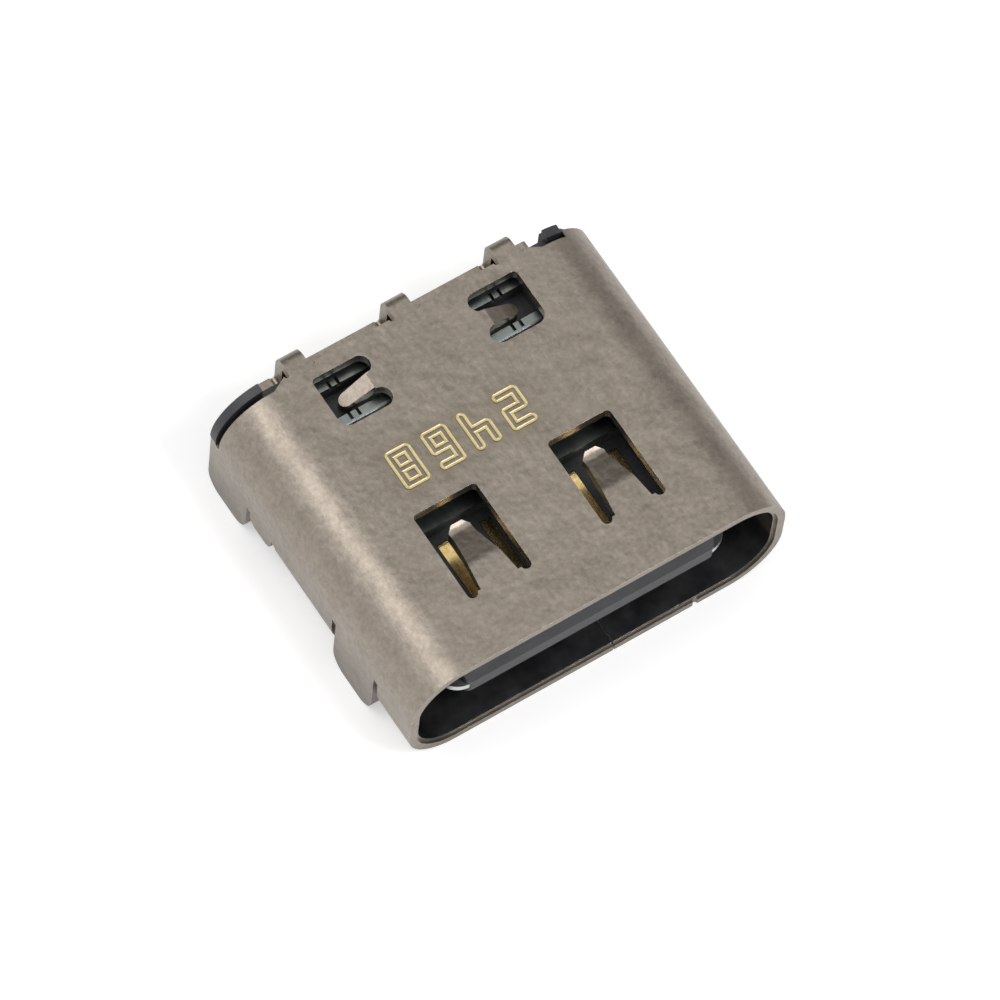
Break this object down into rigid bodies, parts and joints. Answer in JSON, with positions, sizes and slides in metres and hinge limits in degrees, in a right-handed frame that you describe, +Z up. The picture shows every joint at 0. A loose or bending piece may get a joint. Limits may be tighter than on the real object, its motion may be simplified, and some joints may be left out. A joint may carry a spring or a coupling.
{
  "type": "usb-c socket",
  "caption": "Board-mounted USB-C socket: folded steel shell with spring fingers and solder legs round a moulded tongue that carries rows of gold contacts.",
  "frame": {"origin": "centre of the plug opening, in the plane of the mouth", "axes": "+X across the opening, +Y from the mouth towards the rear, +Z up and away from the board"},
  "size_m": [0.0088, 0.0083, 0.003],
  "materials": {
    "shell": "satin",
    "housing": "matte",
    "carrier": "matte",
    "plate": "satin",
    "contact": "polished"
  },
  "bodies": {
    "root": {"shell": "shell", "housing": "housing", "upper_carrier": "carrier", "lower_carrier": "carrier", "mid_plate": "plate", "upper_ground_plate": "plate", "lower_ground_plate": "plate", "contact_a01": "contact", "contact_a02": "contact", "contact_a03": "contact", "contact_a04": "contact", "contact_a05": "contact", "contact_a06": "contact", "contact_a07": "contact", "contact_a08": "contact", "contact_a09": "contact", "contact_a10": "contact", "contact_a11": "contact", "contact_a12": "contact", "contact_b01": "contact", "contact_b02": "contact", "contact_b03": "contact", "contact_b04": "contact", "contact_b05": "contact", "contact_b06": "contact", "contact_b07": "contact", "contact_b08": "contact", "contact_b09": "contact", "contact_b10": "contact", "contact_b11": "contact", "contact_b12": "contact"}
  },
  "joints": []
}
